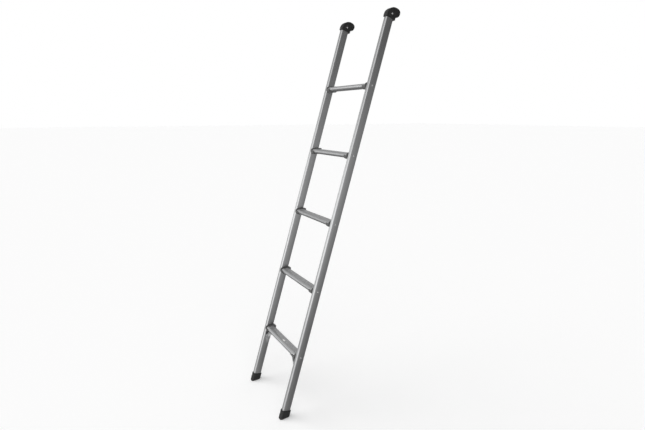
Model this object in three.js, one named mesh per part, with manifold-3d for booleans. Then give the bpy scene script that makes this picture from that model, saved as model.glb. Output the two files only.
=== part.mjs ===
// A leaning ladder: two rounded aluminium rails, five level flat-topped treads held in
// plastic end sockets, hooked caps on top and rubber boots below.
// Millimetres. +Z up, +X to the climber's right, the climber stands on the -Y side and
// the top leans towards +Y. The origin is under the middle of the ladder, at floor level.

import * as THREE from 'three';
import { mergeVertices, toCreasedNormals } from 'three/addons/utils/BufferGeometryUtils.js';
import Module from 'manifold-3d';

const wasm = await Module();
wasm.setup();

const LEAN = THREE.MathUtils.degToRad(17.1);
const GAP = 0.15;

// Rails
const RAIL_SPACING = 330;
const RAIL_DEPTH = 40;
const RAIL_WIDTH = 20;
const RAIL_RADIUS = 6;
const RAIL_WALL = 1.8;
const RAIL_START = 12;
const RAIL_INSIDE = RAIL_SPACING / 2 - RAIL_WIDTH / 2;
const RAIL_OUTSIDE = RAIL_SPACING / 2 + RAIL_WIDTH / 2;

// Treads
const TREAD_COUNT = 5;
const TREAD_PITCH = 305;
const FIRST_TREAD = 287;
const TREAD_TOP = 10.4;
const TREAD_NOSE = -9.8;
const TREAD_HEEL = 13.1;
const HEEL_RADIUS = 6.5;
const TREAD_WALL = 1.6;
const RIB_COUNT = 8;
const RIB_PITCH = 2.9;
const RIB_HEIGHT = 0.7;
const BOSS_RADIUS = 4.6;
const BOSS_BORE = 2.6;
const WEB_HALF = 1.1;

// Tread sockets
const SOCKET_LENGTH = 24;
const SOCKET_WALL = 4;
const SOCKET_SKIN = 4;
const SOCKET_RIM = 4;
const SOCKET_REAR = 25.5;
const SOCKET_CORNER = 3;
const SOCKET_EAR = 15;

// Rivets
const SHANK = 2.4;
const HOLE = 2.65;
const RIVET_HEAD = 4.2;
const RIVET_DOME = 1.9;
const RIVET_REACH = 16;

// Top caps
const CAP_RIVET = FIRST_TREAD + TREAD_COUNT * TREAD_PITCH;
const RAIL_END = CAP_RIVET + 7;
const CAP_SKIN = 2.5;
const CAP_OFFSET = 4.5;
const CAP_FRONT = 22.5;
const CAP_BACK = 27;
const CAP_SLEEVE = 19;
const CAP_NOTCH = 5;
const HOOK_SEAT = 10;
const CAP_EDGE = 2.2;

// Feet
const FOOT_HEIGHT = 37;
const FOOT_SKIN = 3;
const FOOT_EDGE = 3;

// Braces under the lowest tread
const BRACE_SHEET = 2.2;
const BRACE_REACH = 50;
const BRACE_FLANGE = 20;
const BRACE_BEND = 50;
const BRACE_DROP = 80;
const BRACE_FRONT = -16;
const BRACE_REAR = 10;
const BRACE_MIDDLE = (BRACE_FRONT + BRACE_REAR) / 2;
const BRACE_SHOULDER = 56;
const BRACE_TIP = 3.5;
const BRACE_SKEW = 0.16;
const BRACE_HOLE = 2.25;
const BRACE_OFFCUT = 30;
const LIP_ON_TREAD = 4;
const LIP_ON_RAIL = 13;
const LIP_WEB = 9.5;
const LIP_STEP = 5;
const LIP_BESIDE_SOCKET = 0.5;
const LIP_UNDER_SOCKET = 0.7;
const BRACE_RIVET_X = 40;
const BRACE_RIVET_Y = -5;
const BRACE_RIVET_Z = 62;

// Blank sticker on the lowest tread
const LABEL_SIZE = [18, 8, 0.3];
const LABEL_AT = [17, -4.5];

const looks = {
  rail: { color: 0xa9abad, roughness: 0.36, metalness: 0.85 },
  tread: { color: 0xb4b7ba, roughness: 0.42, metalness: 0.8 },
  cap: { color: 0x17181a, roughness: 0.48, metalness: 0 },
  socket: { color: 0x2b2d2f, roughness: 0.5, metalness: 0 },
  foot: { color: 0x1b1c1e, roughness: 0.72, metalness: 0 },
  rivet: { color: 0xc3c5c7, roughness: 0.3, metalness: 0.9 },
  brace: { color: 0xbfc2c4, roughness: 0.4, metalness: 0.8 },
  label: { color: 0xe9eaea, roughness: 0.6, metalness: 0 },
};

const group = new THREE.Group();
group.name = 'leaning_ladder';

// Solids ---------------------------------------------------------------------

function solid(geometry) {
  const bare = geometry.clone();
  bare.deleteAttribute('normal');
  bare.deleteAttribute('uv');
  const welded = mergeVertices(bare, 1e-4);
  return new wasm.Manifold(new wasm.Mesh({
    numProp: 3,
    vertProperties: new Float32Array(welded.attributes.position.array),
    triVerts: new Uint32Array(welded.index.array),
  }));
}

function geometryOf(body) {
  const mesh = body.getMesh();
  const geometry = new THREE.BufferGeometry();
  geometry.setAttribute('position', new THREE.BufferAttribute(mesh.vertProperties, 3));
  geometry.setIndex(new THREE.BufferAttribute(mesh.triVerts, 1));
  return geometry;
}

function cut(geometry, ...tools) {
  return geometryOf(tools.reduce((body, tool) => body.subtract(solid(tool)), solid(geometry)));
}

function join(...pieces) {
  return geometryOf(pieces.map(solid).reduce((body, piece) => body.add(piece)));
}

function add(name, geometry, look) {
  const faceted = toCreasedNormals(geometry, 0.6);
  const mesh = new THREE.Mesh(faceted, new THREE.MeshStandardMaterial({ name: look, ...looks[look] }));
  mesh.name = name;
  group.add(mesh);
}

// Placing --------------------------------------------------------------------

// Rail space has X across, Y through the rail's depth and Z up along the rail.
function leaned(geometry) {
  return geometry.clone().rotateX(-LEAN);
}

// A section drawn as (Y, Z) and extruded along +Z comes to lie along +X.
function alongX(geometry) {
  const basis = new THREE.Matrix4().makeBasis(
    new THREE.Vector3(0, 1, 0),
    new THREE.Vector3(0, 0, 1),
    new THREE.Vector3(1, 0, 0),
  );
  return geometry.clone().applyMatrix4(basis);
}

function treadStation(index) {
  return FIRST_TREAD + index * TREAD_PITCH;
}

// Treads stay level, so each is only moved to its place on the leaning rail.
function atTread(geometry, index) {
  const along = treadStation(index);
  return geometry.clone().translate(0, along * Math.sin(LEAN), along * Math.cos(LEAN));
}

function mirrored(geometry, side) {
  if (side > 0) {
    return geometry.clone();
  }
  const flipped = geometry.clone().scale(-1, 1, 1);
  const index = flipped.index.array;
  for (let i = 0; i < index.length; i += 3) {
    [index[i + 1], index[i + 2]] = [index[i + 2], index[i + 1]];
  }
  return flipped;
}

// Outlines -------------------------------------------------------------------

function roundedRect(width, depth, radius) {
  const x = width / 2;
  const y = depth / 2;
  const shape = new THREE.Shape();
  shape.moveTo(x, -y + radius);
  shape.lineTo(x, y - radius);
  shape.absarc(x - radius, y - radius, radius, 0, Math.PI / 2, false);
  shape.lineTo(-x + radius, y);
  shape.absarc(-x + radius, y - radius, radius, Math.PI / 2, Math.PI, false);
  shape.lineTo(-x, -y + radius);
  shape.absarc(-x + radius, -y + radius, radius, Math.PI, 1.5 * Math.PI, false);
  shape.lineTo(x - radius, -y);
  shape.absarc(x - radius, -y + radius, radius, 1.5 * Math.PI, 2 * Math.PI, false);
  return shape;
}

function extrude(shape, depth, segments = 3, extra = {}) {
  return new THREE.ExtrudeGeometry(shape, {
    depth,
    curveSegments: segments,
    bevelEnabled: false,
    ...extra,
  });
}

function rounded(edge) {
  return {
    bevelEnabled: true,
    bevelThickness: edge,
    bevelSize: edge,
    bevelOffset: -edge,
    bevelSegments: 2,
  };
}

function peg(radius, length, segments = 12) {
  return new THREE.CylinderGeometry(radius, radius, length, segments);
}

function pegAlongX(radius, from, to) {
  return peg(radius, to - from).rotateZ(Math.PI / 2).translate((from + to) / 2, 0, 0);
}

// A tread's outline grown by `grow`: round nose in front, flat top, rounded heel.
function treadOutline(grow, ribbed) {
  const nose = TREAD_TOP + grow;
  const heel = HEEL_RADIUS + grow;
  const shape = new THREE.Shape();
  shape.absarc(TREAD_NOSE, 0, nose, 1.5 * Math.PI, 0.5 * Math.PI, true);
  if (ribbed) {
    ribTop(shape);
  }
  shape.absarc(TREAD_HEEL, TREAD_TOP - HEEL_RADIUS, heel, 0.5 * Math.PI, 0, true);
  shape.absarc(TREAD_HEEL, HEEL_RADIUS - TREAD_TOP, heel, 0, -0.5 * Math.PI, true);
  return shape;
}

function ribTop(shape) {
  const start = (TREAD_NOSE + TREAD_HEEL - RIB_COUNT * RIB_PITCH) / 2;
  for (let i = 0; i < RIB_COUNT; i += 1) {
    const y = start + i * RIB_PITCH;
    shape.lineTo(y + 0.5, TREAD_TOP);
    shape.lineTo(y + 0.9, TREAD_TOP - RIB_HEIGHT);
    shape.lineTo(y + 1.8, TREAD_TOP - RIB_HEIGHT);
    shape.lineTo(y + 2.2, TREAD_TOP);
  }
}

function bossAngle() {
  return Math.acos(WEB_HALF / BOSS_RADIUS);
}

function noseChamber() {
  const inner = TREAD_TOP - TREAD_WALL;
  const angle = bossAngle();
  const shape = new THREE.Shape();
  shape.absarc(TREAD_NOSE, 0, inner, 1.5 * Math.PI, 0.5 * Math.PI, true);
  shape.lineTo(-WEB_HALF, inner - RIB_HEIGHT);
  shape.absarc(0, 0, BOSS_RADIUS, Math.PI - angle, Math.PI + angle, false);
  shape.lineTo(-WEB_HALF, -inner);
  return shape;
}

function heelChamber() {
  const inner = TREAD_TOP - TREAD_WALL;
  const heel = HEEL_RADIUS - TREAD_WALL;
  const angle = bossAngle();
  const shape = new THREE.Shape();
  shape.moveTo(WEB_HALF, inner - RIB_HEIGHT);
  shape.absarc(TREAD_HEEL, TREAD_TOP - HEEL_RADIUS - RIB_HEIGHT, heel, 0.5 * Math.PI, 0, true);
  shape.absarc(TREAD_HEEL, HEEL_RADIUS - TREAD_TOP, heel, 0, -0.5 * Math.PI, true);
  shape.lineTo(WEB_HALF, -inner);
  shape.absarc(0, 0, BOSS_RADIUS, -angle, angle, false);
  return shape;
}

// Rails ----------------------------------------------------------------------

// The rail's top is cut level; its middle line is RAIL_END long.
function aboveRail(clearance) {
  const size = 3 * RAIL_DEPTH;
  const height = RAIL_END * Math.cos(LEAN) + clearance + size / 2;
  return new THREE.BoxGeometry(size, size, size).translate(0, RAIL_END * Math.sin(LEAN), height);
}

function rail(side) {
  const shape = roundedRect(RAIL_WIDTH, RAIL_DEPTH, RAIL_RADIUS);
  const inner = roundedRect(
    RAIL_WIDTH - 2 * RAIL_WALL,
    RAIL_DEPTH - 2 * RAIL_WALL,
    RAIL_RADIUS - RAIL_WALL,
  );
  shape.holes.push(inner);
  const tube = extrude(shape, RAIL_END + RAIL_DEPTH - RAIL_START).translate(0, 0, RAIL_START);
  const drills = [];
  for (let i = 0; i < TREAD_COUNT; i += 1) {
    drills.push(pegAlongX(HOLE, -RAIL_WIDTH, RAIL_WIDTH).translate(0, 0, treadStation(i)));
  }
  drills.push(pegAlongX(HOLE, -RAIL_WIDTH, RAIL_WIDTH).translate(0, CAP_OFFSET, CAP_RIVET));
  const trimmed = cut(leaned(cut(tube, ...drills)), aboveRail(0));
  const drilled = trimmed.translate(side * RAIL_SPACING / 2, 0, 0);
  return cut(drilled, atTread(mirrored(geometryOf(solid(braceRailDrill())), side), 0));
}

// Treads and their sockets ---------------------------------------------------

function tread(index) {
  const half = RAIL_INSIDE - SOCKET_WALL - 2 * GAP;
  const [outline, ...hollows] = [treadOutline(0, true), noseChamber(), heelChamber()].map(
    (shape, i) => alongX(extrude(shape, 2 * (half + i), 4)).translate(-half - i, 0, 0),
  );
  const bar = cut(outline, ...hollows, pegAlongX(BOSS_BORE, -half - 1, half + 1));
  if (index > 0) {
    return atTread(bar, index);
  }
  const drills = [-1, 1].map((side) => mirrored(geometryOf(solid(braceTreadDrill())), side));
  return atTread(cut(bar, ...drills), index);
}

// A socket's outline: the tread's own, grown, with a squarer corner behind.
function socketOutline() {
  const heel = HEEL_RADIUS + SOCKET_SKIN;
  const top = TREAD_TOP + SOCKET_SKIN;
  const corner = SOCKET_CORNER;
  const shape = new THREE.Shape();
  shape.absarc(TREAD_NOSE, 0, top, 1.5 * Math.PI, 0.5 * Math.PI, true);
  shape.absarc(SOCKET_REAR - corner, top - corner, corner, 0.5 * Math.PI, 0, true);
  shape.absarc(TREAD_HEEL, HEEL_RADIUS - TREAD_TOP, heel, 0, -0.5 * Math.PI, true);
  return shape;
}

// The cradle is open over the tread's top, so the tread shows up to the wall at the rail.
function socketOpening() {
  const front = TREAD_NOSE - TREAD_TOP - 2 * SOCKET_SKIN;
  const shape = new THREE.Shape();
  shape.moveTo(front, SOCKET_RIM);
  shape.lineTo(SOCKET_EAR, SOCKET_RIM);
  shape.lineTo(SOCKET_EAR, TREAD_TOP + 2 * SOCKET_SKIN);
  shape.lineTo(front, TREAD_TOP + 2 * SOCKET_SKIN);
  return shape;
}

function socket() {
  const from = RAIL_INSIDE - GAP - SOCKET_LENGTH;
  const body = alongX(extrude(socketOutline(), SOCKET_LENGTH, 4));
  const pocket = alongX(extrude(treadOutline(GAP, false), SOCKET_LENGTH, 4));
  const opening = alongX(extrude(socketOpening(), SOCKET_LENGTH));
  body.translate(from, 0, 0);
  pocket.translate(from - SOCKET_WALL, 0, 0);
  opening.translate(from - SOCKET_WALL, 0, 0);
  return cut(body, pocket, opening, pegAlongX(HOLE, RAIL_INSIDE - 20, RAIL_INSIDE + 5));
}

// A domed rivet lying along X with its head's underside at `head`, pointing inwards.
function rivet(head, shank, reach, radius, dome) {
  const profile = [
    new THREE.Vector2(0, -reach),
    new THREE.Vector2(shank, -reach),
    new THREE.Vector2(shank, 0),
    new THREE.Vector2(radius, 0),
    new THREE.Vector2(radius * 0.86, dome * 0.55),
    new THREE.Vector2(radius * 0.5, dome * 0.88),
    new THREE.Vector2(0, dome),
  ];
  const lathe = new THREE.LatheGeometry(profile, 12).rotateZ(-Math.PI / 2);
  return geometryOf(solid(lathe.translate(head, 0, 0)));
}

function treadRivet() {
  const reach = RAIL_WIDTH + SOCKET_WALL + RIVET_REACH;
  return rivet(RAIL_OUTSIDE + GAP, SHANK, reach, RIVET_HEAD, RIVET_DOME);
}

// Top caps -------------------------------------------------------------------

// The cap seen from the side, measured from its rivet: a sleeve below, a round hooked
// head above that overhangs behind the rail. The hook's underside is level, so that it
// sits on a flat edge with the sleeve's back against that edge.
function capOutline() {
  const shape = new THREE.Shape();
  shape.moveTo(CAP_BACK, -CAP_SLEEVE);
  shape.lineTo(CAP_BACK, -CAP_NOTCH);
  shape.lineTo(
    CAP_BACK + HOOK_SEAT * Math.cos(LEAN),
    -CAP_NOTCH + HOOK_SEAT * Math.sin(LEAN),
  );
  shape.splineThru([
    new THREE.Vector2(40.5, 1.5),
    new THREE.Vector2(44, 8),
    new THREE.Vector2(45.2, 16),
    new THREE.Vector2(42.8, 24),
    new THREE.Vector2(36, 29.2),
    new THREE.Vector2(25.5, 31.4),
    new THREE.Vector2(12, 30.4),
    new THREE.Vector2(0, 26),
    new THREE.Vector2(-11, 17.8),
    new THREE.Vector2(-18.6, 8),
    new THREE.Vector2(-21.9, -1.5),
    new THREE.Vector2(-CAP_FRONT, -9),
  ]);
  shape.lineTo(-CAP_FRONT, -CAP_SLEEVE);
  return shape;
}

function topCap(side) {
  const width = RAIL_WIDTH + 2 * CAP_SKIN;
  const body = extrude(capOutline(), width - 2 * CAP_EDGE, 2, rounded(CAP_EDGE));
  const head = alongX(body.translate(0, 0, CAP_EDGE - width / 2)).translate(0, 0, CAP_RIVET);
  const pocket = extrude(
    roundedRect(RAIL_WIDTH + 2 * GAP, RAIL_DEPTH + 2 * GAP, RAIL_RADIUS + GAP),
    CAP_SLEEVE + 2 * RAIL_DEPTH,
  ).translate(0, 0, RAIL_END - CAP_SLEEVE - RAIL_DEPTH);
  const bore = pegAlongX(HOLE, -width, width).translate(0, CAP_OFFSET, CAP_RIVET);
  const hollow = cut(leaned(pocket), aboveRail(GAP));
  return cut(leaned(head), hollow, leaned(bore)).translate(side * RAIL_SPACING / 2, 0, 0);
}

// A through rivet with a dome at each end.
function capRivet(side) {
  const half = RAIL_WIDTH / 2 + CAP_SKIN + GAP;
  const near = rivet(half, SHANK, half, RIVET_HEAD, RIVET_DOME);
  const far = mirrored(near, -1);
  const pin = pegAlongX(SHANK, -half, half);
  const whole = join(near, far, pin).translate(0, CAP_OFFSET, CAP_RIVET);
  return leaned(whole).translate(side * RAIL_SPACING / 2, 0, 0);
}

// Feet -----------------------------------------------------------------------

// A rubber boot that follows the rail and is cut level at the floor.
function foot(side) {
  const depth = (RAIL_DEPTH + 2 * FOOT_SKIN) / Math.cos(LEAN);
  const section = roundedRect(RAIL_WIDTH + 2 * FOOT_SKIN, depth, RAIL_RADIUS + FOOT_SKIN);
  const block = extrude(section, 70, 3, rounded(FOOT_EDGE)).translate(0, 0, FOOT_EDGE);
  block.applyMatrix4(new THREE.Matrix4().makeShear(0, 0, 0, 0, 0, Math.tan(LEAN)));
  const above = new THREE.BoxGeometry(80, 120, 80).translate(0, 0, FOOT_HEIGHT + 40);
  const pocket = extrude(
    roundedRect(RAIL_WIDTH + 2 * GAP, RAIL_DEPTH + 2 * GAP, RAIL_RADIUS + GAP),
    80,
  ).translate(0, 0, RAIL_START - GAP);
  return cut(block, leaned(above), leaned(pocket)).translate(side * RAIL_SPACING / 2, 0, 0);
}

// Braces ---------------------------------------------------------------------

function braceSkew(geometry) {
  return geometry.applyMatrix4(new THREE.Matrix4().makeShear(0, 0, 0, 0, 0, BRACE_SKEW));
}

// The bent strap's edge, drawn as (X, Z) from the rail's inner face.
function braceStrap() {
  const top = -TREAD_TOP - GAP;
  const rail = RAIL_INSIDE - GAP;
  const shape = new THREE.Shape();
  shape.moveTo(rail - BRACE_REACH, top);
  shape.lineTo(rail - BRACE_REACH, top - BRACE_SHEET);
  shape.lineTo(rail - BRACE_REACH + BRACE_FLANGE, top - BRACE_SHEET);
  shape.lineTo(rail - BRACE_SHEET, -BRACE_BEND);
  shape.lineTo(rail - BRACE_SHEET, -BRACE_DROP);
  shape.lineTo(rail, -BRACE_DROP);
  shape.lineTo(rail, -BRACE_BEND + 1.2);
  shape.lineTo(rail - BRACE_REACH + BRACE_FLANGE + 1.6, top);
  return shape;
}

// The stiffening lip folded back along the strap's front edge, clear of the socket.
function braceLip() {
  const top = -TREAD_TOP - GAP;
  const rail = RAIL_INSIDE - GAP;
  const bend = rail - BRACE_REACH + BRACE_FLANGE;
  const under = -TREAD_TOP - SOCKET_SKIN - LIP_UNDER_SOCKET;
  const beside = rail - SOCKET_LENGTH - LIP_BESIDE_SOCKET;
  const shape = new THREE.Shape();
  shape.moveTo(bend, top - BRACE_SHEET);
  shape.lineTo(rail - BRACE_SHEET, -BRACE_BEND);
  shape.lineTo(rail - BRACE_SHEET, -BRACE_BEND + LIP_ON_RAIL);
  shape.lineTo(bend + LIP_WEB, under - LIP_STEP);
  shape.lineTo(beside, under);
  shape.lineTo(beside, top);
  shape.lineTo(bend - LIP_ON_TREAD, top);
  return shape;
}

// Drawn as (X, Z) and extruded from `front` to `rear` in Y.
function fromSide(shape, front, rear) {
  return extrude(shape, rear - front).rotateX(Math.PI / 2).translate(0, rear, 0);
}

// Wedges that taper the strap's lower end to a blunt point.
function braceTaper(direction) {
  const edge = direction > 0 ? BRACE_REAR : BRACE_FRONT;
  const shape = new THREE.Shape();
  const tip = BRACE_MIDDLE + direction * BRACE_TIP;
  shape.moveTo(edge, -BRACE_SHOULDER);
  shape.lineTo(tip, -BRACE_DROP - 0.1);
  shape.lineTo(tip, -BRACE_DROP - 5);
  shape.lineTo(direction * BRACE_OFFCUT, -BRACE_DROP - 5);
  shape.lineTo(direction * BRACE_OFFCUT, -BRACE_SHOULDER);
  return alongX(extrude(shape, BRACE_OFFCUT)).translate(RAIL_INSIDE - 20, 0, 0);
}

function braceTreadDrill() {
  const hole = peg(BRACE_HOLE, 12).rotateX(Math.PI / 2);
  return hole.translate(RAIL_INSIDE - BRACE_RIVET_X, BRACE_RIVET_Y, -TREAD_TOP);
}

function braceRailDrill() {
  const y = BRACE_MIDDLE - BRACE_RIVET_Z * BRACE_SKEW;
  return pegAlongX(BRACE_HOLE, RAIL_INSIDE - 8, RAIL_INSIDE + 8).translate(0, y, -BRACE_RIVET_Z);
}

function brace(side) {
  const strap = fromSide(braceStrap(), BRACE_FRONT, BRACE_REAR);
  const lip = fromSide(braceLip(), BRACE_FRONT, BRACE_FRONT + BRACE_SHEET);
  const plate = braceSkew(cut(join(strap, lip), braceTaper(1), braceTaper(-1)));
  const drilled = cut(plate, braceTreadDrill(), braceRailDrill());
  return atTread(mirrored(drilled, side), 0);
}

function braceRailRivet(side) {
  const pin = mirrored(rivet(0, 2, 6.5, 3.6, 1.5), -1);
  const y = BRACE_MIDDLE - BRACE_RIVET_Z * BRACE_SKEW;
  pin.translate(RAIL_INSIDE - GAP - BRACE_SHEET - GAP, y, -BRACE_RIVET_Z);
  return atTread(mirrored(pin, side), 0);
}

function braceTreadRivet(side) {
  const pin = rivet(0, 2, 6.5, 3.6, 1.5).rotateY(Math.PI / 2);
  const z = -TREAD_TOP - GAP - BRACE_SHEET - GAP;
  pin.translate(RAIL_INSIDE - BRACE_RIVET_X, BRACE_RIVET_Y, z);
  return atTread(mirrored(pin, side), 0);
}

// Sticker --------------------------------------------------------------------

function label() {
  const [length, width, thickness] = LABEL_SIZE;
  const sheet = extrude(roundedRect(length, width, 1.2), thickness, 3);
  sheet.translate(LABEL_AT[0], LABEL_AT[1], TREAD_TOP + GAP / 3);
  return atTread(sheet, 0);
}

// Assembly -------------------------------------------------------------------

function addSide(side) {
  const hand = side > 0 ? 'right' : 'left';
  add(`rail_${hand}`, rail(side), 'rail');
  add(`top_cap_${hand}`, topCap(side), 'cap');
  add(`cap_rivet_${hand}`, capRivet(side), 'rivet');
  add(`foot_${hand}`, foot(side), 'foot');
  add(`brace_${hand}`, brace(side), 'brace');
  add(`brace_rivet_rail_${hand}`, braceRailRivet(side), 'rivet');
  add(`brace_rivet_tread_${hand}`, braceTreadRivet(side), 'rivet');
  for (let i = 0; i < TREAD_COUNT; i += 1) {
    add(`tread_socket_${hand}_${i + 1}`, atTread(mirrored(socket(), side), i), 'socket');
    add(`tread_rivet_${hand}_${i + 1}`, atTread(mirrored(treadRivet(), side), i), 'rivet');
  }
}

for (let i = 0; i < TREAD_COUNT; i += 1) {
  add(`tread_${i + 1}`, tread(i), 'tread');
}
addSide(-1);
addSide(1);
add('blank_label', label(), 'label');

// The box is centred over the origin.
const centre = new THREE.Box3().setFromObject(group).getCenter(new THREE.Vector3());
group.children.forEach((mesh) => mesh.geometry.translate(0, -centre.y, 0));

export default group;
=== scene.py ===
import math

import bmesh
import bpy
from mathutils import Matrix, Vector


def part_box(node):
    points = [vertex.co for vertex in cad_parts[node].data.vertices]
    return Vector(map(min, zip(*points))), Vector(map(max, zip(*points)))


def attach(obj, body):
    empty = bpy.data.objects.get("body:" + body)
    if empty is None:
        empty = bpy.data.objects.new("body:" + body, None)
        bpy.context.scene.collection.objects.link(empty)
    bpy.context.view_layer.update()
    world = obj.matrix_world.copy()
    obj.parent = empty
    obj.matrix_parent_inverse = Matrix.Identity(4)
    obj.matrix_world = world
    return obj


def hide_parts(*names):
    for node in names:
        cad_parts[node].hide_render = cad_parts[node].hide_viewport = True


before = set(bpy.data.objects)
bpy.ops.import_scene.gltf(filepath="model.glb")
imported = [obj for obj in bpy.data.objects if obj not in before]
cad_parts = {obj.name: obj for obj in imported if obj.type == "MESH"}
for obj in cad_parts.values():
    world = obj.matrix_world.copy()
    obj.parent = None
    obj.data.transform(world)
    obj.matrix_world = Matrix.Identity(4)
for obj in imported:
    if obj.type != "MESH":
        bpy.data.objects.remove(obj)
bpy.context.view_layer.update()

# A leaning ladder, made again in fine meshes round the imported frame. All lengths are in
# metres. +X is to the climber's right, the climber stands on the -Y side, and the top leans
# towards +Y. The sizes here repeat the frame's, and places come from its boxes.

# --- where things are ---------------------------------------------------------

HANDS = (("left", -1), ("right", 1))
TREAD_COUNT = 5
TREADS = range(1, TREAD_COUNT + 1)
GAP = 0.00015
CORNER_STEPS = 8
RAIL_DEPTH = 0.040
RAIL_RADIUS = 0.006
RAIL_CROWN = 0.13
PITCH = 0.305
FIRST_TREAD = 0.287
RAIL_START = 0.012
TREAD_TOP = 0.0104
TREAD_NOSE = -0.0098
TREAD_HEEL = 0.0131
HEEL_RADIUS = 0.0065
RIB_COUNT = 8
RIB_PITCH = 0.0029
RIB_HEIGHT = 0.0007
RIB_CHAMFER = 0.00012
CHANNEL = (  # (across, down) from one rib's top to the next
    (2.3e-3, 0.0),
    (2.15e-3, RIB_CHAMFER),
    (1.8e-3, RIB_HEIGHT),
    (0.9e-3, RIB_HEIGHT),
    (0.55e-3, RIB_CHAMFER),
    (0.4e-3, 0.0),
)
# How deep each groove is, by its angle round the nose from straight back: 90 is up, 180 is front.
NOSE_GROOVES = {114: 3e-4, 117: 6e-4, 120: 6e-4, 123: 3e-4, 156: 2e-4, 159: 4e-4, 162: 2e-4}
SOCKET_SKIN = 0.004
SOCKET_WALL = 0.004
SOCKET_RIM = 0.004
SOCKET_REAR = 0.0255
SOCKET_CORNER = 0.003
SOCKET_EAR = 0.015
SOCKET_ROUND = 0.0015
SOCKET_BACK_ROUND = 0.0012
CAP_SKIN = 0.0025
CAP_OFFSET = 0.0045
RAIL_ABOVE_RIVET = 0.007
CAP_FRONT = 0.0225
CAP_BACK = 0.027
CAP_SLEEVE = 0.019
CAP_NOTCH = 0.005
CAP_EDGE = 0.0034
HOOK_SEAT = 0.010
FOOT_HEIGHT = 0.037
FOOT_SKIN = 0.003
FOOT_ROUND = 0.004
SMALL_RIVET = 0.8
SMALL_RIVET_HEAD = 0.0015
SMALL_RIVET_REACH = 0.006
TREAD_RIVET_REACH = 0.036
BRACE_SHEET = 0.0022
BRACE_BEND = 0.050
BRACE_DROP = 0.080
BRACE_REACH = 0.050
BRACE_FLANGE = 0.020
BRACE_FRONT = -0.016
BRACE_REAR = 0.010
BRACE_SHOULDER = 0.056
BRACE_TIP = 0.0035
BRACE_SKEW = 0.16
BRACE_FOLD = 0.0035
LIP_ON_RAIL = 0.013
LIP_ON_TREAD = 0.0038
LIP_WEB = (0.0095, -0.0203)
LIP_CORNER = (0.0055, -0.0150)
LIP_TOP = (0.0050, 0.0002)
LIP_ROUND = 0.0004


def middle(node):
    """The middle of a node's box."""
    low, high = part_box(node)
    return (Vector(low) + Vector(high)) / 2


def tread_axis(number):
    """The middle of a tread, on the line of its two rivets."""
    point = middle(f"tread_rivet_right_{number}")
    point.x = 0
    return point


LOW = tread_axis(1)
HIGH = tread_axis(TREAD_COUNT)
LEAN = math.atan2(HIGH.y - LOW.y, HIGH.z - LOW.z)
UP = Vector((0, math.sin(LEAN), math.cos(LEAN)))
BACK = Vector((0, math.cos(LEAN), -math.sin(LEAN)))
FLOOR_POINT = LOW - UP * FIRST_TREAD
RAIL_X = middle("rail_right").x
RAIL_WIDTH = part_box("rail_right")[1][0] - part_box("rail_right")[0][0]
CAP_RIVET = FIRST_TREAD + TREAD_COUNT * PITCH
RAIL_END = CAP_RIVET + RAIL_ABOVE_RIVET


def on_rail(side, x, back, along):
    """A point by its place across, through the depth of and along one rail."""
    point = FLOOR_POINT + BACK * back + UP * along
    point.x = side * (RAIL_X + x)
    return point


def level(back, along):
    """How far up the rail a point lies that's level with its middle line at `along`."""
    return along + back * math.tan(LEAN)


# --- finishes -----------------------------------------------------------------

RAIL_TONE = 0.56
TREAD_TONE = 0.59
RAIL_ROUGHNESS = 0.20
TREAD_ROUGHNESS = 0.24


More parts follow.
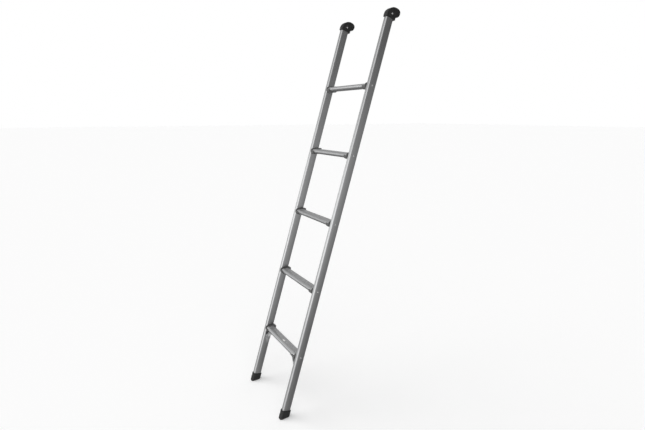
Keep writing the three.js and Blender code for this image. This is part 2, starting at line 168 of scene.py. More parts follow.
class Finish:
    """One node material, with short calls for the nodes it is made from."""

    def __init__(self, name, **uniform):
        self.material = bpy.data.materials.new(name)
        self.material.use_nodes = True
        self.nodes = self.material.node_tree.nodes
        self.links = self.material.node_tree.links
        self.shader = self.nodes["Principled BSDF"]
        for socket, value in uniform.items():
            self.shader.inputs[socket.replace("_", " ")].default_value = value

    def node(self, kind, inputs=None, **settings):
        made = self.nodes.new("ShaderNode" + kind)
        for key, value in settings.items():
            setattr(made, key, value)
        for key, value in (inputs or {}).items():
            self.feed(made.inputs[key], value)
        return made

    def feed(self, socket, value):
        if isinstance(value, bpy.types.NodeSocket):
            self.links.new(value, socket)
        else:
            socket.default_value = value

    def local(self):
        return self.node("TexCoord").outputs["Object"]

    def grain_space(self, turn=0.0):
        """The piece's own coordinates, turned about X and shifted differently on each piece."""
        seed = self.node("ObjectInfo").outputs["Random"]
        shift = self.node("VectorMath", {0: (3.1, 5.3, 7.7), "Scale": seed}, operation="SCALE")
        turned = self.node("Mapping", {"Vector": self.local(), "Rotation": (turn, 0, 0)})
        inputs = {0: turned.outputs[0], 1: shift.outputs[0]}
        return self.node("VectorMath", inputs, operation="ADD").outputs[0]

    def noise(self, space, size, detail=2.0):
        """Noise from 0 to 1 with features of the given size in metres along each axis."""
        scale = tuple(1 / s for s in size)
        stretched = self.node("Mapping", {"Vector": space, "Scale": scale}).outputs[0]
        inputs = {"Vector": stretched, "Scale": 1.0, "Detail": detail}
        return self.node("TexNoise", inputs).outputs["Fac"]

    def remap(self, value, low, high, start=0.0, stop=1.0):
        inputs = {"Value": value, "From Min": low, "From Max": high, "To Min": start, "To Max": stop}
        made = self.node("MapRange", inputs, interpolation_type="SMOOTHSTEP")
        return made.outputs["Result"]

    def math(self, operation, first, second=0.0):
        return self.node("Math", {0: first, 1: second}, operation=operation).outputs[0]

    def total(self, *terms):
        """The sum of several (value, weight) pairs."""
        result = 0.0
        for value, weight in terms:
            inputs = {0: value, 1: weight, 2: result}
            result = self.node("Math", inputs, operation="MULTIPLY_ADD").outputs[0]
        return result

    def total_of_squares(self, first, second):
        squares = [self.math("MULTIPLY", value, value) for value in (first, second)]
        return self.math("ADD", *squares)

    def mix(self, factor, first, second):
        inputs = {0: factor, 6: first, 7: second}
        return self.node("Mix", inputs, data_type="RGBA").outputs[2]

    def edges(self, radius):
        """1 along edges that stand out, 0 on flats."""
        round_over = self.node("Bevel", {"Radius": radius}, samples=6).outputs["Normal"]
        flat = self.node("NewGeometry").outputs["Normal"]
        inputs = {0: round_over, 1: flat}
        agree = self.node("VectorMath", inputs, operation="DOT_PRODUCT").outputs["Value"]
        return self.remap(agree, 0.985, 0.8)

    def bump(self, *layers):
        """Bump layers of (height, strength, depth in metres), each on top of the last."""
        normal = None
        for height, strength, depth in layers:
            inputs = {"Height": height, "Strength": strength, "Distance": depth}
            if normal:
                inputs["Normal"] = normal
            normal = self.node("Bump", inputs).outputs["Normal"]
        self.feed(self.shader.inputs["Normal"], normal)

    def finish(self, color, roughness):
        self.feed(self.shader.inputs["Base Color"], color)
        self.feed(self.shader.inputs["Roughness"], roughness)
        return self.material


def grey(value, warmth=0.0):
    """A grey as linear RGBA, a little warmer or cooler than neutral."""
    return (value * (1 + warmth), value, value * (1 - warmth), 1)


def rail_finish():
    """Satin aluminium tube: die lines along its length, faint streaks and handling marks."""
    made = Finish("rail_aluminium", Metallic=1.0)
    space = made.grain_space(LEAN)
    lines = made.noise(space, (0.35e-3, 0.35e-3, 0.09), 3)
    streaks = made.noise(space, (2.2e-3, 2.2e-3, 0.35), 2)
    patches = made.noise(space, (0.03, 0.03, 0.08), 3)
    grain = made.noise(space, (0.4e-3, 0.4e-3, 0.8e-3), 2)
    marks = made.remap(made.noise(space, (1.6e-3, 7e-3, 9e-3), 4), 0.62, 0.72)
    dust = made.remap(made.node("SeparateXYZ", {0: made.local()}).outputs["Z"], 0.16, 0.03)
    tone = made.total((lines, 0.35), (streaks, 0.45), (patches, 0.35), (marks, -0.12))
    tone = made.remap(tone, 0.38, 0.78)
    metal = made.mix(tone, grey(RAIL_TONE * 0.9, -0.012), grey(RAIL_TONE * 1.08, -0.004))
    color = made.mix(made.math("MULTIPLY", dust, 0.12), metal, grey(0.42, 0.02))
    rough = made.total((lines, 0.12), (patches, 0.08), (marks, 0.10), (dust, 0.06), (grain, 0.04))
    made.bump((lines, 0.10, 1.2e-4), (grain, 0.06, 5e-5))
    return made.finish(color, made.math("ADD", rough, RAIL_ROUGHNESS))


def tread_finish():
    """Extruded aluminium: rib crowns polished by use, dirt in the channels, scuffs across."""
    made = Finish("tread_aluminium", Metallic=1.0)
    space = made.grain_space()
    lines = made.noise(space, (0.07, 0.3e-3, 0.3e-3), 3)
    streaks = made.noise(space, (0.25, 2.4e-3, 2.4e-3), 2)
    patches = made.noise(space, (0.045, 0.012, 0.012), 3)
    grain = made.noise(space, (0.5e-3, 0.35e-3, 0.35e-3), 2)
    spot = made.node("SeparateXYZ", {0: made.local()})
    height = spot.outputs["Z"]
    centre = (TREAD_NOSE + TREAD_HEEL) / 2
    half = RIB_COUNT * RIB_PITCH / 2
    off_middle = made.math("ABSOLUTE", made.math("SUBTRACT", spot.outputs["Y"], centre))
    ribbed = made.remap(off_middle, half + 0.6e-3, half)
    crown = made.remap(height, TREAD_TOP - 0.3e-3, TREAD_TOP - 0.05e-3)
    crown = made.math("MULTIPLY", crown, ribbed)
    below_crown = made.remap(height, TREAD_TOP - 0.2e-3, TREAD_TOP - 0.6e-3)
    above_nose = made.remap(height, TREAD_TOP - 1.2e-3, TREAD_TOP - 0.9e-3)
    channel = made.math("MULTIPLY", made.math("MULTIPLY", below_crown, above_nose), ribbed)
    dirt = made.math("MULTIPLY", channel, made.remap(patches, 0.2, 0.6, 0.7, 0.95))
    scuffs = made.remap(made.noise(space, (0.7e-3, 0.02, 0.02), 4), 0.60, 0.70)
    worn = made.math("MULTIPLY", made.remap(made.math("ABSOLUTE", spot.outputs["X"]), 0.13, 0.05), crown)
    tone = made.total((lines, 0.4), (streaks, 0.45), (patches, 0.15), (worn, 0.10), (scuffs, -0.06))
    tone = made.remap(tone, 0.33, 0.78)
    metal = made.mix(tone, grey(TREAD_TONE * 0.9, -0.01), grey(TREAD_TONE * 1.1, -0.003))
    color = made.mix(made.math("MULTIPLY", dirt, 0.35), metal, grey(0.16, 0.05))
    rough = made.total((lines, 0.10), (patches, 0.05), (dirt, 0.25), (worn, -0.06), (scuffs, 0.06))
    made.bump((lines, 0.12, 1.2e-4), (scuffs, 0.05, 6e-5), (grain, 0.06, 5e-5))
    return made.finish(color, made.math("ADD", rough, TREAD_ROUGHNESS))


def brace_finish():
    """Cut and folded aluminium sheet, rolled along its length, brighter on its cut edges."""
    made = Finish("brace_sheet", Metallic=1.0)
    space = made.grain_space()
    lines = made.noise(space, (4e-3, 0.25e-3, 0.03), 3)
    patches = made.noise(space, (8e-3, 8e-3, 0.012), 3)
    grain = made.noise(space, (0.3e-3, 0.3e-3, 0.3e-3), 2)
    edge = made.edges(0.6e-3)
    tone = made.total((lines, 0.4), (patches, 0.5), (edge, 0.35))
    color = made.mix(made.remap(tone, 0.3, 0.9), grey(0.66, -0.01), grey(0.92, -0.005))
    rough = made.total((lines, 0.10), (patches, 0.12), (edge, -0.08))
    made.bump((lines, 0.10, 1e-4), (grain, 0.08, 5e-5))
    return made.finish(color, made.math("ADD", rough, 0.36))


def rivet_finish():
    """Bright drawn aluminium with fine turning rings round the head and a darker foot."""
    made = Finish("rivet_aluminium", Metallic=1.0)
    spot = made.node("SeparateXYZ", {0: made.local()})
    radius = made.math("POWER", made.total_of_squares(spot.outputs["X"], spot.outputs["Y"]), 0.5)
    rings = made.math("SINE", made.math("MULTIPLY", radius, 2 * math.pi / 0.35e-3))
    patches = made.noise(made.grain_space(), (1.5e-3, 1.5e-3, 1.5e-3), 3)
    foot = made.remap(radius, 3.3e-3, 4.2e-3)
    tone = made.total((patches, 0.7), (rings, 0.06), (foot, -0.35))
    color = made.mix(made.remap(tone, -0.1, 0.6), grey(0.45), grey(0.86, 0.004))
    rough = made.total((patches, 0.14), (foot, 0.14))
    made.bump((rings, 0.10, 4e-5), (patches, 0.10, 1.5e-4))
    return made.finish(color, made.math("ADD", rough, 0.20))


def moulded_finish(name, dark, light, roughness, pebble, worn):
    """Moulded plastic: a fine spark-eroded grain, cloudy sheen and paler rubbed edges."""
    made = Finish(name, Specular_IOR_Level=0.5)
    space = made.grain_space()
    grain = made.noise(space, (pebble, pebble, pebble), 3)
    clouds = made.noise(space, (0.011, 0.011, 0.011), 3)
    edge = made.math("MULTIPLY", made.edges(0.9e-3), made.remap(clouds, 0.3, 0.6, 0.4, 1.0))
    tone = made.total((grain, 0.35), (clouds, 0.6))
    body = made.mix(made.remap(tone, 0.25, 0.7), grey(dark), grey(light))
    color = made.mix(made.math("MULTIPLY", edge, 0.5), body, grey(worn))
    rough = made.total((clouds, 0.14), (grain, 0.10), (edge, -0.05))
    made.bump((grain, 0.22, 1.0e-4), (clouds, 0.03, 4e-4))
    return made.finish(color, made.math("ADD", rough, roughness))


def rubber_finish():
    """Matte rubber with a fine speckle, floor dust low down and pale scuffs on its lip."""
    made = Finish("foot_rubber", Specular_IOR_Level=0.4)
    space = made.grain_space()
    speckle = made.noise(space, (0.45e-3, 0.45e-3, 0.45e-3), 4)
    clouds = made.noise(space, (9e-3, 9e-3, 6e-3), 3)
    low = made.remap(made.node("SeparateXYZ", {0: made.local()}).outputs["Z"], 0.012, 0.0)
    dust = made.math("MULTIPLY", low, made.remap(clouds, 0.35, 0.65, 0.2, 1.0))
    edge = made.math("MULTIPLY", made.edges(0.8e-3), made.remap(speckle, 0.4, 0.6))
    tone = made.total((speckle, 0.5), (clouds, 0.5))
    body = made.mix(made.remap(tone, 0.3, 0.7), grey(0.012), grey(0.026))
    color = made.mix(made.total((dust, 0.22), (edge, 0.18)), body, grey(0.16, 0.06))
    rough = made.total((speckle, 0.10), (dust, 0.15))
    made.bump((speckle, 0.30, 1.4e-4), (clouds, 0.05, 4e-4))
    return made.finish(color, made.math("ADD", rough, 0.52))


def paper_finish():
    """A blank vinyl sticker with a faint fibre grain and cloudy patches of tone."""
    made = Finish("label_vinyl")
    space = made.grain_space()
    fibre = made.noise(space, (0.5e-3, 0.12e-3, 0.3e-3), 4)
    clouds = made.noise(space, (7e-3, 4e-3, 4e-3), 3)
    tone = made.total((fibre, 0.3), (clouds, 0.7))
    color = made.mix(made.remap(tone, 0.3, 0.7), grey(0.74, 0.015), grey(0.86, 0.004))
    made.bump((fibre, 0.08, 4e-5))
    return made.finish(color, made.remap(clouds, 0.3, 0.7, 0.34, 0.46))


FINISHES = {
    "rail": rail_finish(),
    "tread": tread_finish(),
    "brace": brace_finish(),
    "rivet": rivet_finish(),
    "cap": moulded_finish("cap_plastic", 0.010, 0.018, 0.36, 0.35e-3, 0.05),
    "socket": moulded_finish("socket_plastic", 0.085, 0.120, 0.38, 0.3e-3, 0.20),
    "foot": rubber_finish(),
    "label": paper_finish(),
}


# --- mesh building ------------------------------------------------------------


def mesh_object(name, points, faces, slot, stands_for, place=Matrix.Identity(4)):
    """A mesh from points in the frame, with its own origin and axes at `place`."""
    data = bpy.data.meshes.new(name)
    inward = place.inverted()
    data.from_pydata([tuple(inward @ Vector(p)) for p in points], [], faces)
    shell = bmesh.new()
    shell.from_mesh(data)
    bmesh.ops.remove_doubles(shell, verts=shell.verts, dist=1e-6)
    bmesh.ops.recalc_face_normals(shell, faces=shell.faces)
    shell.to_mesh(data)
    shell.free()
    data.update()
    obj = bpy.data.objects.new(name, data)
    obj.matrix_world = place
    bpy.context.collection.objects.link(obj)
    obj.data.materials.append(FINISHES[slot])
    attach(obj, "root")
    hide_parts(*stands_for)
    return obj


def smooth(obj, degrees=32):
    """Smooth shading with the edges sharper than the angle kept sharp."""
    data = obj.data
    data.polygons.foreach_set("use_smooth", [True] * len(data.polygons))
    shell = bmesh.new()
    shell.from_mesh(data)
    for edge in shell.edges:
        if len(edge.link_faces) == 2:
            edge.smooth = edge.calc_face_angle(0) < math.radians(degrees)
    shell.to_mesh(data)
    shell.free()


def rings_to_faces(count, size):
    """Quads between `count` rings of `size` points each, with a face on each end."""
    faces = []
    for ring in range(count - 1):
        for i in range(size):
            j = (i + 1) % size
            a = ring * size
            b = a + size
            faces.append((a + i, a + j, b + j, b + i))
    faces.append(tuple(range(size))[::-1])
    last = (count - 1) * size
    faces.append(tuple(range(last, last + size)))
    return faces


def arc(cx, cy, radius, start, end, steps):
    """Points round a circle's part, from one angle in degrees to another."""
    turns = [math.radians(start + (end - start) * i / steps) for i in range(steps + 1)]
    return [(cx + radius * math.cos(turn), cy + radius * math.sin(turn)) for turn in turns]


def rounded_rect(width, depth, radius, steps=CORNER_STEPS):
    """A rectangle about the origin with round corners, counter-clockwise from its right."""
    x = width / 2 - radius
    y = depth / 2 - radius
    return (
        arc(x, y, radius, 0, 90, steps)
        + arc(-x, y, radius, 90, 180, steps)
        + arc(-x, -y, radius, 180, 270, steps)
        + arc(x, -y, radius, 270, 360, steps)
    )


def inset(loop, amount):
    """A counter-clockwise loop moved inwards along its corners' own normals."""
    if abs(amount) < 1e-7:
        return loop
    moved = []
    size = len(loop)
    for i, (x, y) in enumerate(loop):
        before = Vector(loop[i - 1])
        after = Vector(loop[(i + 1) % size])
        here = Vector((x, y))
        first = (here - before).normalized()
        second = (after - here).normalized()
        normal = Vector((-first.y - second.y, first.x + second.x))
        if normal.length > 1e-9:
            normal.normalize()
        bend = max(0.5, abs(normal.dot(Vector((-first.y, first.x)))))
        moved.append(tuple(here + normal * amount / bend))
    return moved


def curve(start, corner, end, parts):
    """A short curve that leaves `start` towards `corner` and turns to `end`."""
    return [start * (1 - t) ** 2 + corner * 2 * t * (1 - t) + end * t * t for t in parts]


def rounded_loop(corners, radius):
    """A loop with each corner turned into a short curve, counter-clockwise."""
    area = sum(a[0] * b[1] - b[0] * a[1] for a, b in zip(corners, corners[1:] + corners[:1]))
    if area < 0:
        corners = corners[::-1]
    out = []
    size = len(corners)
    for i, here in enumerate(corners):
        here = Vector(here)
        into = (here - Vector(corners[i - 1])).normalized()
        away = (Vector(corners[(i + 1) % size]) - here).normalized()
        bend = curve(here - into * radius, here, here + away * radius, (0, 0.33, 0.67, 1))
        out += [tuple(point) for point in bend]
    return out


def rounding(radius, steps):
    """(inset, height) up a quarter round, from its foot to where it is upright."""
    turns = [math.radians(90 * i / steps) for i in range(steps + 1)]
    return [(radius * (1 - math.sin(turn)), radius * (1 - math.cos(turn))) for turn in turns]


def apply_modifiers(obj):
    """Turns a piece's modifiers into its own mesh."""
    graph = bpy.context.evaluated_depsgraph_get()
    result = bpy.data.meshes.new_from_object(obj.evaluated_get(graph))
    obj.modifiers.clear()
    obj.data = result


def soften(obj, width):
    """A small bevel along a piece's sharp edges."""
    change = obj.modifiers.new("soften", "BEVEL")
    change.width = width
    change.segments = 2
    change.limit_method = "ANGLE"
    change.angle_limit = math.radians(50)
    apply_modifiers(obj)


def cut_pocket(obj, points, faces):
    """Takes a closed form out of a piece."""
    data = bpy.data.meshes.new("tool")
    data.from_pydata([tuple(p) for p in points], [], faces)
    tool = bpy.data.objects.new("tool", data)
    bpy.context.collection.objects.link(tool)
    shell = bmesh.new()
    shell.from_mesh(data)
    bmesh.ops.recalc_face_normals(shell, faces=shell.faces)
    shell.to_mesh(data)
    shell.free()
    change = obj.modifiers.new("pocket", "BOOLEAN")
    change.operation = "DIFFERENCE"
    change.solver = "EXACT"
    change.object = tool
    apply_modifiers(obj)
    bpy.data.objects.remove(tool)


# --- rails --------------------------------------------------------------------


def rail_section(grow=0.0):
    """The tube's outline, (across, back): a rounded rectangle with gently crowned sides."""
    section = rounded_rect(RAIL_WIDTH + 2 * grow, RAIL_DEPTH + 2 * grow, RAIL_RADIUS + grow)
    half = RAIL_DEPTH / 2 - RAIL_RADIUS
    flat = [half * (1 - 2 * i / (CORNER_STEPS + 1)) for i in range(1, CORNER_STEPS + 1)]
    edge = RAIL_WIDTH / 2 + grow
    behind = 2 * (CORNER_STEPS + 1)
    section[behind:behind] = [(-edge, back) for back in flat]
    section += [(edge, -back) for back in flat]
    return [(x * (1 - RAIL_CROWN * (back / RAIL_DEPTH * 2) ** 2), back) for x, back in section]


def rail(hand, side):
    """A tube from its square cut in the boot to its level cut in the cap."""
    loop = rail_section()
    points = [on_rail(side, x, back, RAIL_START) for x, back in loop]
    points += [on_rail(side, x, back, level(back, RAIL_END)) for x, back in loop]
    faces = rings_to_faces(2, len(loop))
    smooth(mesh_object(f"rail_{hand}_tube", points, faces, "rail", [f"rail_{hand}"]))


def rail_pocket(side, start, stop, level_top=False):
    """The space that the rail takes up in a cap or a boot, with a gap all round."""
    loop = rail_section(GAP)
    points = [on_rail(side, x, back, start) for x, back in loop]
    for x, back in loop:
        points.append(on_rail(side, x, back, level(back, stop) if level_top else stop))
    return points, rings_to_faces(2, len(loop))


# --- treads -------------------------------------------------------------------


def tread_outline(grow):
    """The plain outline: round nose in front, flat top, rounded heel, (y, z)."""
    nose = TREAD_TOP + grow
    heel = HEEL_RADIUS + grow
    low = HEEL_RADIUS - TREAD_TOP
    return (
        arc(TREAD_HEEL, low, heel, -90, 0, 8)
        + arc(TREAD_HEEL, -low, heel, 0, 90, 8)
        + arc(TREAD_NOSE, 0, nose, 90, 270, 20)
    )


def ribbed_outline():
    """The tread's own outline, with ribs on top and grooves round its nose, (y, z)."""
    low = HEEL_RADIUS - TREAD_TOP
    loop = arc(TREAD_HEEL, low, HEEL_RADIUS, -90, 0, 8)
    loop += arc(TREAD_HEEL, -low, HEEL_RADIUS, 0, 90, 8)
    start = (TREAD_NOSE + TREAD_HEEL - RIB_COUNT * RIB_PITCH) / 2
    for i in reversed(range(RIB_COUNT)):
        loop += [(start + i * RIB_PITCH + across, TREAD_TOP - down) for across, down in CHANNEL]
    for degrees in range(90, 271, 3):
        radius = TREAD_TOP - NOSE_GROOVES.get(degrees, 0)
        loop += arc(TREAD_NOSE, 0, radius, degrees, degrees, 1)[:1]
    return loop


def tread(number):
    """A level tread, from rail to rail."""
    axis = tread_axis(number)
    loop = ribbed_outline()
    node = f"tread_{number}"
    low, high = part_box(node)
    points = [axis + Vector((x, y, z)) for x in (low[0], high[0]) for y, z in loop]
    faces = rings_to_faces(2, len(loop))
    place = Matrix.Translation(axis)
    smooth(mesh_object(f"{node}_plank", points, faces, "tread", [node], place), 24)


def socket_outline():
    """The tread's outline grown, with a squarer top corner behind, (y, z)."""
    heel = HEEL_RADIUS + SOCKET_SKIN
    top = TREAD_TOP + SOCKET_SKIN
    corner = SOCKET_CORNER
    return (
        arc(TREAD_HEEL, HEEL_RADIUS - TREAD_TOP, heel, -90, 0, 8)
        + arc(SOCKET_REAR - corner, top - corner, corner, 0, 90, 8)
        + arc(TREAD_NOSE, 0, top, 90, 270, 20)
    )


def socket(hand, side, number):
    """A cradle round the tread's end, open on top as far as its wall at the rail."""
    node = f"tread_socket_{hand}_{number}"
    axis = tread_axis(number)
    low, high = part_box(node)
    inboard, outboard = sorted((abs(low[0]), abs(high[0])))
    outer = socket_outline()
    inner = tread_outline(GAP)
    rings = [
        (inner, outboard - SOCKET_WALL),
        (inner, inboard + 0.5e-3),
        (tread_outline(GAP + 0.5e-3), inboard),
        (inset(outer, SOCKET_ROUND), inboard),
        (inset(outer, 0.75e-3), inboard + 0.2e-3),
        (inset(outer, 0.2e-3), inboard + 0.75e-3),
        (outer, inboard + SOCKET_ROUND),
        (outer, outboard - SOCKET_BACK_ROUND),
        (inset(outer, 0.35e-3), outboard - 0.35e-3),
        (inset(outer, SOCKET_BACK_ROUND), outboard),
    ]
    points = [axis + Vector((side * x, y, z)) for loop, x in rings for y, z in loop]
    faces = rings_to_faces(len(rings), len(outer))
    obj = mesh_object(f"{node}_cup", points, faces, "socket", [node])
    opening = socket_opening()
    span = (inboard - SOCKET_WALL, outboard - SOCKET_WALL)
    points = [axis + Vector((side * x, y, z)) for x in span for y, z in opening]
    cut_pocket(obj, points, rings_to_faces(2, len(opening)))
    soften(obj, 0.5e-3)
    smooth(obj, 40)


def socket_opening():
    """What is open over the tread's top and above its nose, (y, z)."""
    front = TREAD_NOSE - TREAD_TOP - 2 * SOCKET_SKIN
    high = TREAD_TOP + 2 * SOCKET_SKIN
    corners = [(front, SOCKET_RIM), (SOCKET_EAR, SOCKET_RIM), (SOCKET_EAR, high), (front, high)]
    return rounded_loop(corners, 1.2e-3)


# --- rivets -------------------------------------------------------------------

RIVET_SHANK = 0.0024
RIVET_PROFILE = (  # (radius, height) from the dimple's middle to the shank
    (0.0, 1.35e-3),
    (0.8e-3, 1.35e-3),
    (1.05e-3, 1.45e-3),
    (1.2e-3, 1.86e-3),
    (1.5e-3, 1.9e-3),
    (2.4e-3, 1.74e-3),
    (3.2e-3, 1.36e-3),
    (3.85e-3, 0.8e-3),
    (4.15e-3, 0.3e-3),
    (4.2e-3, 0.0),
    (RIVET_SHANK, 0.0),
)


def lathe_points(profile, origin, axis, across, steps):
    """A profile of (radius, height) turned round an axis."""
    other = axis.cross(across)
    points = []
    for radius, height in profile:
        for i in range(steps):
            turn = 2 * math.pi * i / steps
            spoke = across * math.cos(turn) + other * math.sin(turn)
            points.append(origin + spoke * radius + axis * height)
    return points


def rivet(node, origin, axis, scale=1.0, reach=TREAD_RIVET_REACH, through=0.0):
    """A rivet with its head at `origin`: a plain shank inwards, or a head on both ends."""
    profile = [(radius * scale, height * scale) for radius, height in RIVET_PROFILE]
    if through:
        profile += [(radius, -through - height) for radius, height in reversed(profile)]
    else:
        profile += [(RIVET_SHANK * scale, -reach), (0.0, -reach)]
    across = UP if abs(axis.x) > 0.5 else Vector((1, 0, 0))
    steps = 24
    points = lathe_points(profile, origin, axis, across, steps)
    place = Matrix.Translation(origin) @ axis.to_track_quat("Z", "Y").to_matrix().to_4x4()
    faces = rings_to_faces(len(profile), steps)
    smooth(mesh_object(f"{node}_dome", points, faces, "rivet", [node], place), 50)


# --- top caps -----------------------------------------------------------------

CAP_HEAD = (  # (back, along) from the rivet: over the hook and down the front
    (40.5e-3, 1.5e-3),
    (44e-3, 8e-3),
    (45.1e-3, 16e-3),
    (42.8e-3, 24e-3),
    (36e-3, 29.2e-3),
    (25.5e-3, 31.4e-3),
    (12e-3, 30.4e-3),
    (0.0, 26e-3),
    (-11e-3, 17.8e-3),
    (-18.6e-3, 8e-3),
    (-21.9e-3, -1.5e-3),
    (-CAP_FRONT, -9e-3),
)


def blend(before, start, stop, after, t):
    """A point between `start` and `stop` on the smooth curve through four points."""
    bend = 2 * before - 5 * start + 4 * stop - after
    twist = 3 * start - before - 3 * stop + after
    return 0.5 * (2 * start + (stop - before) * t + bend * t * t + twist * t**3)


def spline(points, steps):
    """A smooth curve through all the points."""
    spots = [Vector(point) for point in points]
    spots = [spots[0], *spots, spots[-1]]
    out = []
    for four in zip(spots, spots[1:], spots[2:], spots[3:]):
        out += [tuple(blend(*four, k / steps)) for k in range(steps)]
    return out + [tuple(points[-1])]


def cap_outline():
    """The cap from the side, (back, along) from its rivet."""
    seat = (CAP_BACK + HOOK_SEAT * math.cos(LEAN), HOOK_SEAT * math.sin(LEAN) - CAP_NOTCH)
    head = spline([seat, *CAP_HEAD], 4)
    front = [(-CAP_FRONT, along) for along in (-0.013, -0.016, -CAP_SLEEVE)]
    base = [(back, -CAP_SLEEVE) for back in (-0.009, 0.003, 0.015, CAP_BACK)]
    rear = [(CAP_BACK, along) for along in (-0.014, -0.009, -CAP_NOTCH)]
    notch = Vector(rear[-1])
    seat_run = [tuple(notch.lerp(Vector(seat), part)) for part in (0.35, 0.7)]
    return head + front + base + rear + seat_run


def top_cap(hand, side):
    """A cap rounded along its edges, with the rail's end let into it."""
    loop = cap_outline()
    half = RAIL_WIDTH / 2 + CAP_SKIN
    rings = [(amount, depth - half) for amount, depth in rounding(CAP_EDGE, 6)]
    rings += [(amount, -x) for amount, x in reversed(rings)]
    points = []
    for amount, x in rings:
        for back, along in inset(loop, amount):
            points.append(on_rail(side, x, back, CAP_RIVET + along))
    node = f"top_cap_{hand}"
    faces = rings_to_faces(len(rings), len(loop))
    obj = mesh_object(f"{node}_hook", points, faces, "cap", [node])
    below = CAP_RIVET - 3 * CAP_SLEEVE
    cut_pocket(obj, *rail_pocket(side, below, RAIL_END + GAP, level_top=True))
    smooth(obj, 35)


# --- feet ---------------------------------------------------------------------

BOOT_RINGS = (  # (inset, height, how square to the rail) above the rounded sole
    (0.0, 0.012, 0.15),
    (0.0002, 0.024, 0.6),
    (0.0, 0.033, 1.0),
    (-0.0002, FOOT_HEIGHT - 0.0022, 1.0),
    (0.0001, FOOT_HEIGHT - 0.0008, 1.0),
    (0.0009, FOOT_HEIGHT, 1.0),
)


def foot(hand, side):
    """A boot, level underneath and square to the rail on top, with a soft lip."""
    width = RAIL_WIDTH + 2 * FOOT_SKIN
    depth = RAIL_DEPTH + 2 * FOOT_SKIN
    base = rounded_rect(width, depth, RAIL_RADIUS + FOOT_SKIN)
    rings = [(amount, height, 0.0) for amount, height in rounding(FOOT_ROUND, 5)]
    rings += BOOT_RINGS
    points = []
    for amount, height, square in rings:
        for x, back in inset(base, amount):
            slant = back * math.tan(LEAN) * (1 - square)
            rise = height / math.cos(LEAN) if square < 1 else height
            points.append(on_rail(side, x, back, rise + slant))
    node = f"foot_{hand}"
    faces = rings_to_faces(len(rings), len(base))
    obj = mesh_object(f"{node}_boot", points, faces, "foot", [node])
    cut_pocket(obj, *rail_pocket(side, RAIL_START - GAP, 2 * FOOT_HEIGHT))
    smooth(obj, 40)


# --- braces -------------------------------------------------------------------


def brace_path():
    """The strap's middle line as (x, z) from the tread's axis, with soft bends."""
    top = -TREAD_TOP - GAP - BRACE_SHEET / 2
    wall = RAIL_X - RAIL_WIDTH / 2 - GAP - BRACE_SHEET / 2
    corners = [
        Vector((wall - BRACE_REACH + BRACE_SHEET / 2, top)),
        Vector((wall - BRACE_REACH + BRACE_FLANGE + BRACE_SHEET / 2, top)),
        Vector((wall, -BRACE_BEND)),
        Vector((wall, -BRACE_DROP)),
    ]
    path = [corners[0]]
    for before, here, after in zip(corners, corners[1:], corners[2:]):
        into = (here - before).normalized() * BRACE_FOLD
        out = (after - here).normalized() * BRACE_FOLD
        path += curve(here - into, here, here + out, [i / 5 for i in range(6)])
    start = path[-1]
    return path + [start.lerp(corners[-1], part) for part in (0.08, 0.3, 0.55, 0.8, 0.95, 1.0)]


def brace_section(drop):
    """The strap's section at a depth below the tread's axis: it narrows to a blunt tip."""
    narrow = min(1, max(0, (drop - BRACE_SHOULDER) / (BRACE_DROP - BRACE_SHOULDER)))
    widest = (BRACE_REAR - BRACE_FRONT) / 2
    half = widest + (BRACE_TIP - widest) * narrow
    return rounded_rect(BRACE_SHEET, 2 * half, 0.5e-3, 2)


def brace(hand, side):
    """The strap, run along its path and leaning with the rail."""
    axis = tread_axis(1)
    centre = (BRACE_REAR + BRACE_FRONT) / 2
    path = brace_path()
    points = []
    for before, here, after in zip(path[:1] + path, path, path[1:] + path[-1:]):
        along = (after - before).normalized()
        out = Vector((-along.y, along.x))
        for u, v in brace_section(-here.y):
            spot = here + out * u
            y = centre + v + BRACE_SKEW * spot.y
            points.append(axis + Vector((side * spot.x, y, spot.y)))
    node = f"brace_{hand}"
    faces = rings_to_faces(len(path), len(points) // len(path))
    smooth(mesh_object(f"{node}_strap", points, faces, "brace", [node]), 30)


def brace_lip(hand, side):
    """The lip folded back along the strap's front edge, (x, z) from the tread's axis."""
    axis = tread_axis(1)
    top = -TREAD_TOP - GAP
    wall = RAIL_X - RAIL_WIDTH / 2 - GAP
    bend = wall - BRACE_REACH + BRACE_FLANGE
    outline = [
        (bend, top - BRACE_SHEET),
        (wall - BRACE_SHEET, -BRACE_BEND),
        (wall - BRACE_SHEET, -BRACE_BEND + LIP_ON_RAIL),
        (bend + LIP_WEB[0], LIP_WEB[1]),
        (bend + LIP_CORNER[0], LIP_CORNER[1]),
        (bend + LIP_TOP[0], top - LIP_TOP[1]),
        (bend - LIP_ON_TREAD, top - LIP_TOP[1]),
    ]
    loop = rounded_loop(outline, 1.0e-3)
    rings = [(LIP_ROUND, 0.0), (0.0, LIP_ROUND)]
    rings += [(amount, BRACE_SHEET - depth) for amount, depth in reversed(rings)]
    points = []
    for amount, depth in rings:
        for x, z in inset(loop, amount):
            y = BRACE_FRONT + depth + BRACE_SKEW * z
            points.append(axis + Vector((side * x, y, z)))
    faces = rings_to_faces(len(rings), len(loop))
    smooth(mesh_object(f"brace_{hand}_lip", points, faces, "brace", []), 30)


# --- sticker ------------------------------------------------------------------


def label():
    """The blank sticker, with rounded corners and a softened upper edge."""
    low, high = (Vector(c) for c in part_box("blank_label"))
    place = (low + high) / 2
    loop = rounded_rect(high.x - low.x, high.y - low.y, 1.4e-3, 4)
    soft = 0.08e-3
    rings = [(0.0, low.z), (0.0, high.z - soft), (soft, high.z)]
    points = []
    for amount, z in rings:
        points += [Vector((place.x + x, place.y + y, z)) for x, y in inset(loop, amount)]
    faces = rings_to_faces(len(rings), len(loop))
    smooth(mesh_object("blank_label_sheet", points, faces, "label", ["blank_label"]), 30)


# --- the object ---------------------------------------------------------------


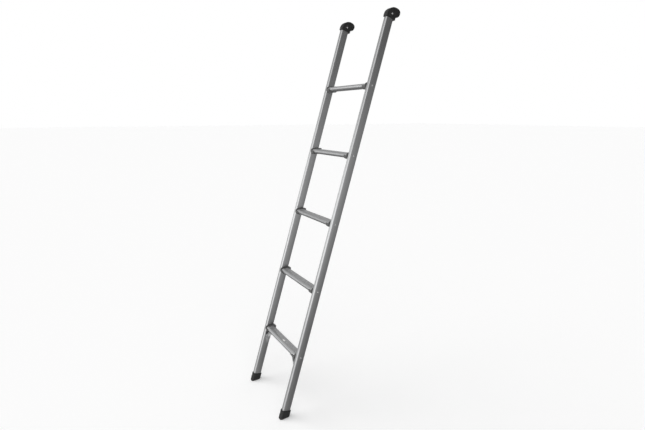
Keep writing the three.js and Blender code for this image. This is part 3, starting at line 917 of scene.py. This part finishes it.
def small_rivets(hand, side):
    """The two rivets of one brace, with their heads on the strap's inner side."""
    node = f"brace_rivet_rail_{hand}"
    origin = middle(node)
    low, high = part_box(node)
    origin.x = side * (min(abs(low[0]), abs(high[0])) + SMALL_RIVET_HEAD)
    rivet(node, origin, Vector((-side, 0, 0)), SMALL_RIVET, SMALL_RIVET_REACH)
    node = f"brace_rivet_tread_{hand}"
    origin = middle(node)
    origin.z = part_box(node)[0][2] + SMALL_RIVET_HEAD
    rivet(node, origin, Vector((0, 0, -1)), SMALL_RIVET, SMALL_RIVET_REACH)


def build():
    """Every piece of the ladder."""
    for number in TREADS:
        tread(number)
    for hand, side in HANDS:
        outward = Vector((side, 0, 0))
        rail(hand, side)
        top_cap(hand, side)
        foot(hand, side)
        brace(hand, side)
        brace_lip(hand, side)
        for number in TREADS:
            socket(hand, side, number)
            origin = tread_axis(number)
            origin.x = side * (RAIL_X + RAIL_WIDTH / 2 + GAP)
            rivet(f"tread_rivet_{hand}_{number}", origin, outward)
        cap_face = RAIL_WIDTH / 2 + CAP_SKIN + GAP
        origin = on_rail(side, cap_face, CAP_OFFSET, CAP_RIVET)
        rivet(f"cap_rivet_{hand}", origin, outward, through=2 * cap_face)
        small_rivets(hand, side)
    label()


build()


# --- camera, floor and light --------------------------------------------------


CAMERA_LENS = 23.44
CAMERA_FROM_TOP_TREAD = Vector((1.6440, -1.1420, -0.1270))
CAMERA_PITCH = 13.20
CAMERA_HEADING = 58.63


def set_camera():
    """About level with the top tread, in front and to the right, looking a little down."""
    data = bpy.data.cameras.new("camera")
    data.lens = CAMERA_LENS
    data.sensor_width = 36
    data.clip_start = 0.05
    data.clip_end = 200
    camera = bpy.data.objects.new("camera", data)
    bpy.context.collection.objects.link(camera)
    camera.location = HIGH + CAMERA_FROM_TOP_TREAD
    camera.rotation_euler = (math.radians(90 - CAMERA_PITCH), 0, math.radians(CAMERA_HEADING))
    bpy.context.scene.camera = camera


set_camera()


# The room that the metal reflects: how bright each part of it is, and which way it lies.
ROOM_FLOOR = 0.44
ROOM_LEFT = 0.20
ROOM_DOME = 0.52
ROOM_SHADE = 0.15
ROOM_WINDOW = 1.28
ROOM_BELOW = 0.85
SHADE_WAY = (0.78, 0.60, 0)
BELOW_WAY = (-0.23, 0.50, -0.83)
WINDOW_WAY = (-0.05, -1.0, 0)
KEY_POWER = 1.2
KEY_WAY = (0.50, 0.62, -0.80)
FLOOR_GLOW = 0.215
FLOOR_HALF = 60
FLOOR_DROP = 0.0002


class Studio(Finish):
    """The same short calls, on the world's nodes."""

    def __init__(self, name):
        self.world = bpy.data.worlds.new(name)
        self.world.use_nodes = True
        self.nodes = self.world.node_tree.nodes
        self.links = self.world.node_tree.links
        self.nodes.clear()

    def toward(self, direction, low, high):
        """1 where the world lies in a direction, 0 away from it."""
        look = self.node("TexCoord").outputs["Generated"]
        inputs = {0: look, 1: Vector(direction).normalized()}
        cosine = self.node("VectorMath", inputs, operation="DOT_PRODUCT").outputs["Value"]
        return self.remap(cosine, low, high)


def studio():
    """A white backdrop for the camera; for the metal, a grey room with a wide window in front."""
    made = Studio("studio")
    look = made.node("TexCoord").outputs["Generated"]
    part = made.node("SeparateXYZ", {0: look})
    height = part.outputs["Z"]
    right = made.remap(part.outputs["X"], -0.2, 0.5)
    horizon = made.remap(height, -0.60, -0.12, ROOM_FLOOR * 0.36, ROOM_FLOOR * 1.2)
    ground = made.node("Mix", {0: right, 2: ROOM_LEFT, 3: horizon}).outputs[0]
    dome = made.remap(height, -0.05, 0.32, ROOM_DOME * 0.62, ROOM_DOME)
    shade = made.toward(SHADE_WAY, 0.45, 0.92)
    dome = made.node("Mix", {0: shade, 2: dome, 3: ROOM_SHADE}).outputs[0]
    above = made.remap(height, -0.07, 0.12)
    room = made.node("Mix", {0: above, 2: ground, 3: dome}).outputs[0]
    below = made.toward(BELOW_WAY, 0.80, 0.96)
    room = made.node("Mix", {0: below, 2: room, 3: ROOM_BELOW}).outputs[0]
    sweep = made.remap(part.outputs["Y"], 1.1, -0.5, 0.45, 1.95)
    sweep = made.node("Mix", {0: right, 2: 1.0, 3: sweep}).outputs[0]
    sill = made.total((made.remap(height, -0.70, -0.15), 0.36), (above, 0.64))
    window = made.math("MULTIPLY", made.toward(WINDOW_WAY, 0.22, 0.70), sill)
    window = made.math("MULTIPLY", window, made.remap(height, 0.46, 0.12))
    room = made.total((window, ROOM_WINDOW), (made.math("MULTIPLY", room, sweep), 1.0))
    unseen = made.node("Background", {"Color": grey(1.0), "Strength": room}).outputs[0]
    seen = made.node("Background", {"Color": grey(1.0), "Strength": 1.0}).outputs[0]
    to_camera = made.node("LightPath").outputs["Is Camera Ray"]
    both = made.node("MixShader", {0: to_camera, 1: unseen, 2: seen}).outputs[0]
    made.node("OutputWorld", {"Surface": both})
    bpy.context.scene.world = made.world


def key_light():
    """A broad soft light from the front left, as wide as a window."""
    data = bpy.data.lights.new("key", "SUN")
    data.energy = KEY_POWER
    data.angle = math.radians(50)
    lamp = bpy.data.objects.new("key", data)
    bpy.context.collection.objects.link(lamp)
    lamp.rotation_euler = Vector(KEY_WAY).to_track_quat("-Z", "Y").to_euler()
    lamp.visible_glossy = False


def floor():
    """A plain white floor, bright enough to meet the backdrop; only shadows darken it."""
    size = FLOOR_HALF
    data = bpy.data.meshes.new("floor")
    corners = [(-size, -size, 0), (size, -size, 0), (size, size, 0), (-size, size, 0)]
    data.from_pydata(corners, [], [(0, 1, 2, 3)])
    made = Finish("floor_white")
    matte = made.node("BsdfDiffuse", {"Color": grey(0.85)}).outputs[0]
    glow = made.node("Emission", {"Color": grey(1.0), "Strength": FLOOR_GLOW}).outputs[0]
    both = made.node("AddShader", {0: matte, 1: glow}).outputs[0]
    made.feed(made.nodes["Material Output"].inputs["Surface"], both)
    data.materials.append(made.material)
    obj = bpy.data.objects.new("floor", data)
    bpy.context.collection.objects.link(obj)
    obj.location.z = -FLOOR_DROP
    obj.visible_glossy = False


studio()
key_light()
floor()
bpy.context.scene.view_settings.view_transform = "Standard"
